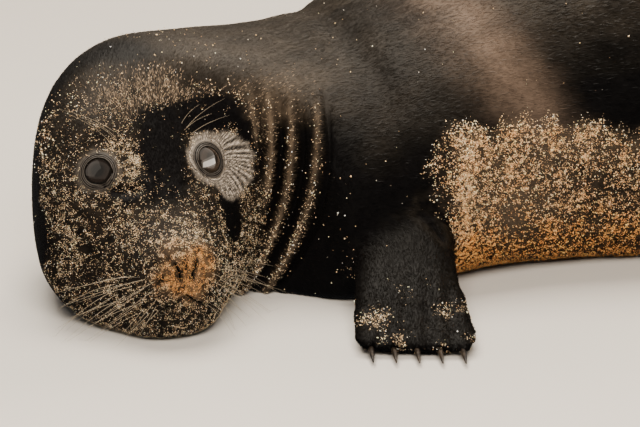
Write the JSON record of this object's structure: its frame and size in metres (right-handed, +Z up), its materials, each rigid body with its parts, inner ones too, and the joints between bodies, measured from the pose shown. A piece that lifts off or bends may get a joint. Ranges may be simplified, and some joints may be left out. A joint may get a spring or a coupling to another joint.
{
  "type": "young grey seal",
  "caption": "Life-size still model of a young grey seal lying on its belly with its head turned round to its left.",
  "frame": {"origin": "on the flat of the belly, below the spine, half way along the trunk", "axes": "+X along the trunk towards the tail, +Z up from the floor, and the face looks towards -Y"},
  "size_m": [1.0908, 0.6373, 0.3],
  "materials": {
    "coat": "short dense velvety fur, near black, with sand caught in it",
    "eye": "wet and glossy, near black",
    "claw": "dark horn, satin"
  },
  "bodies": {
    "root": {"belly": "coat", "chest": "coat", "eye_left": "eye", "eye_right": "eye", "fore_flipper_left": "coat", "fore_flipper_left_claw_1": "claw", "fore_flipper_left_claw_2": "claw", "fore_flipper_left_claw_3": "claw", "fore_flipper_left_claw_4": "claw", "fore_flipper_left_claw_5": "claw", "fore_flipper_right": "coat", "fore_flipper_right_claw_1": "claw", "fore_flipper_right_claw_2": "claw", "fore_flipper_right_claw_3": "claw", "fore_flipper_right_claw_4": "claw", "fore_flipper_right_claw_5": "claw", "head": "coat", "hind_flipper_left": "coat", "hind_flipper_left_claw_1": "claw", "hind_flipper_left_claw_2": "claw", "hind_flipper_left_claw_3": "claw", "hind_flipper_left_claw_4": "claw", "hind_flipper_left_claw_5": "claw", "hind_flipper_right": "coat", "hind_flipper_right_claw_1": "claw", "hind_flipper_right_claw_2": "claw", "hind_flipper_right_claw_3": "claw", "hind_flipper_right_claw_4": "claw", "hind_flipper_right_claw_5": "claw", "hips": "coat", "neck": "coat", "tail": "coat"}
  },
  "joints": []
}
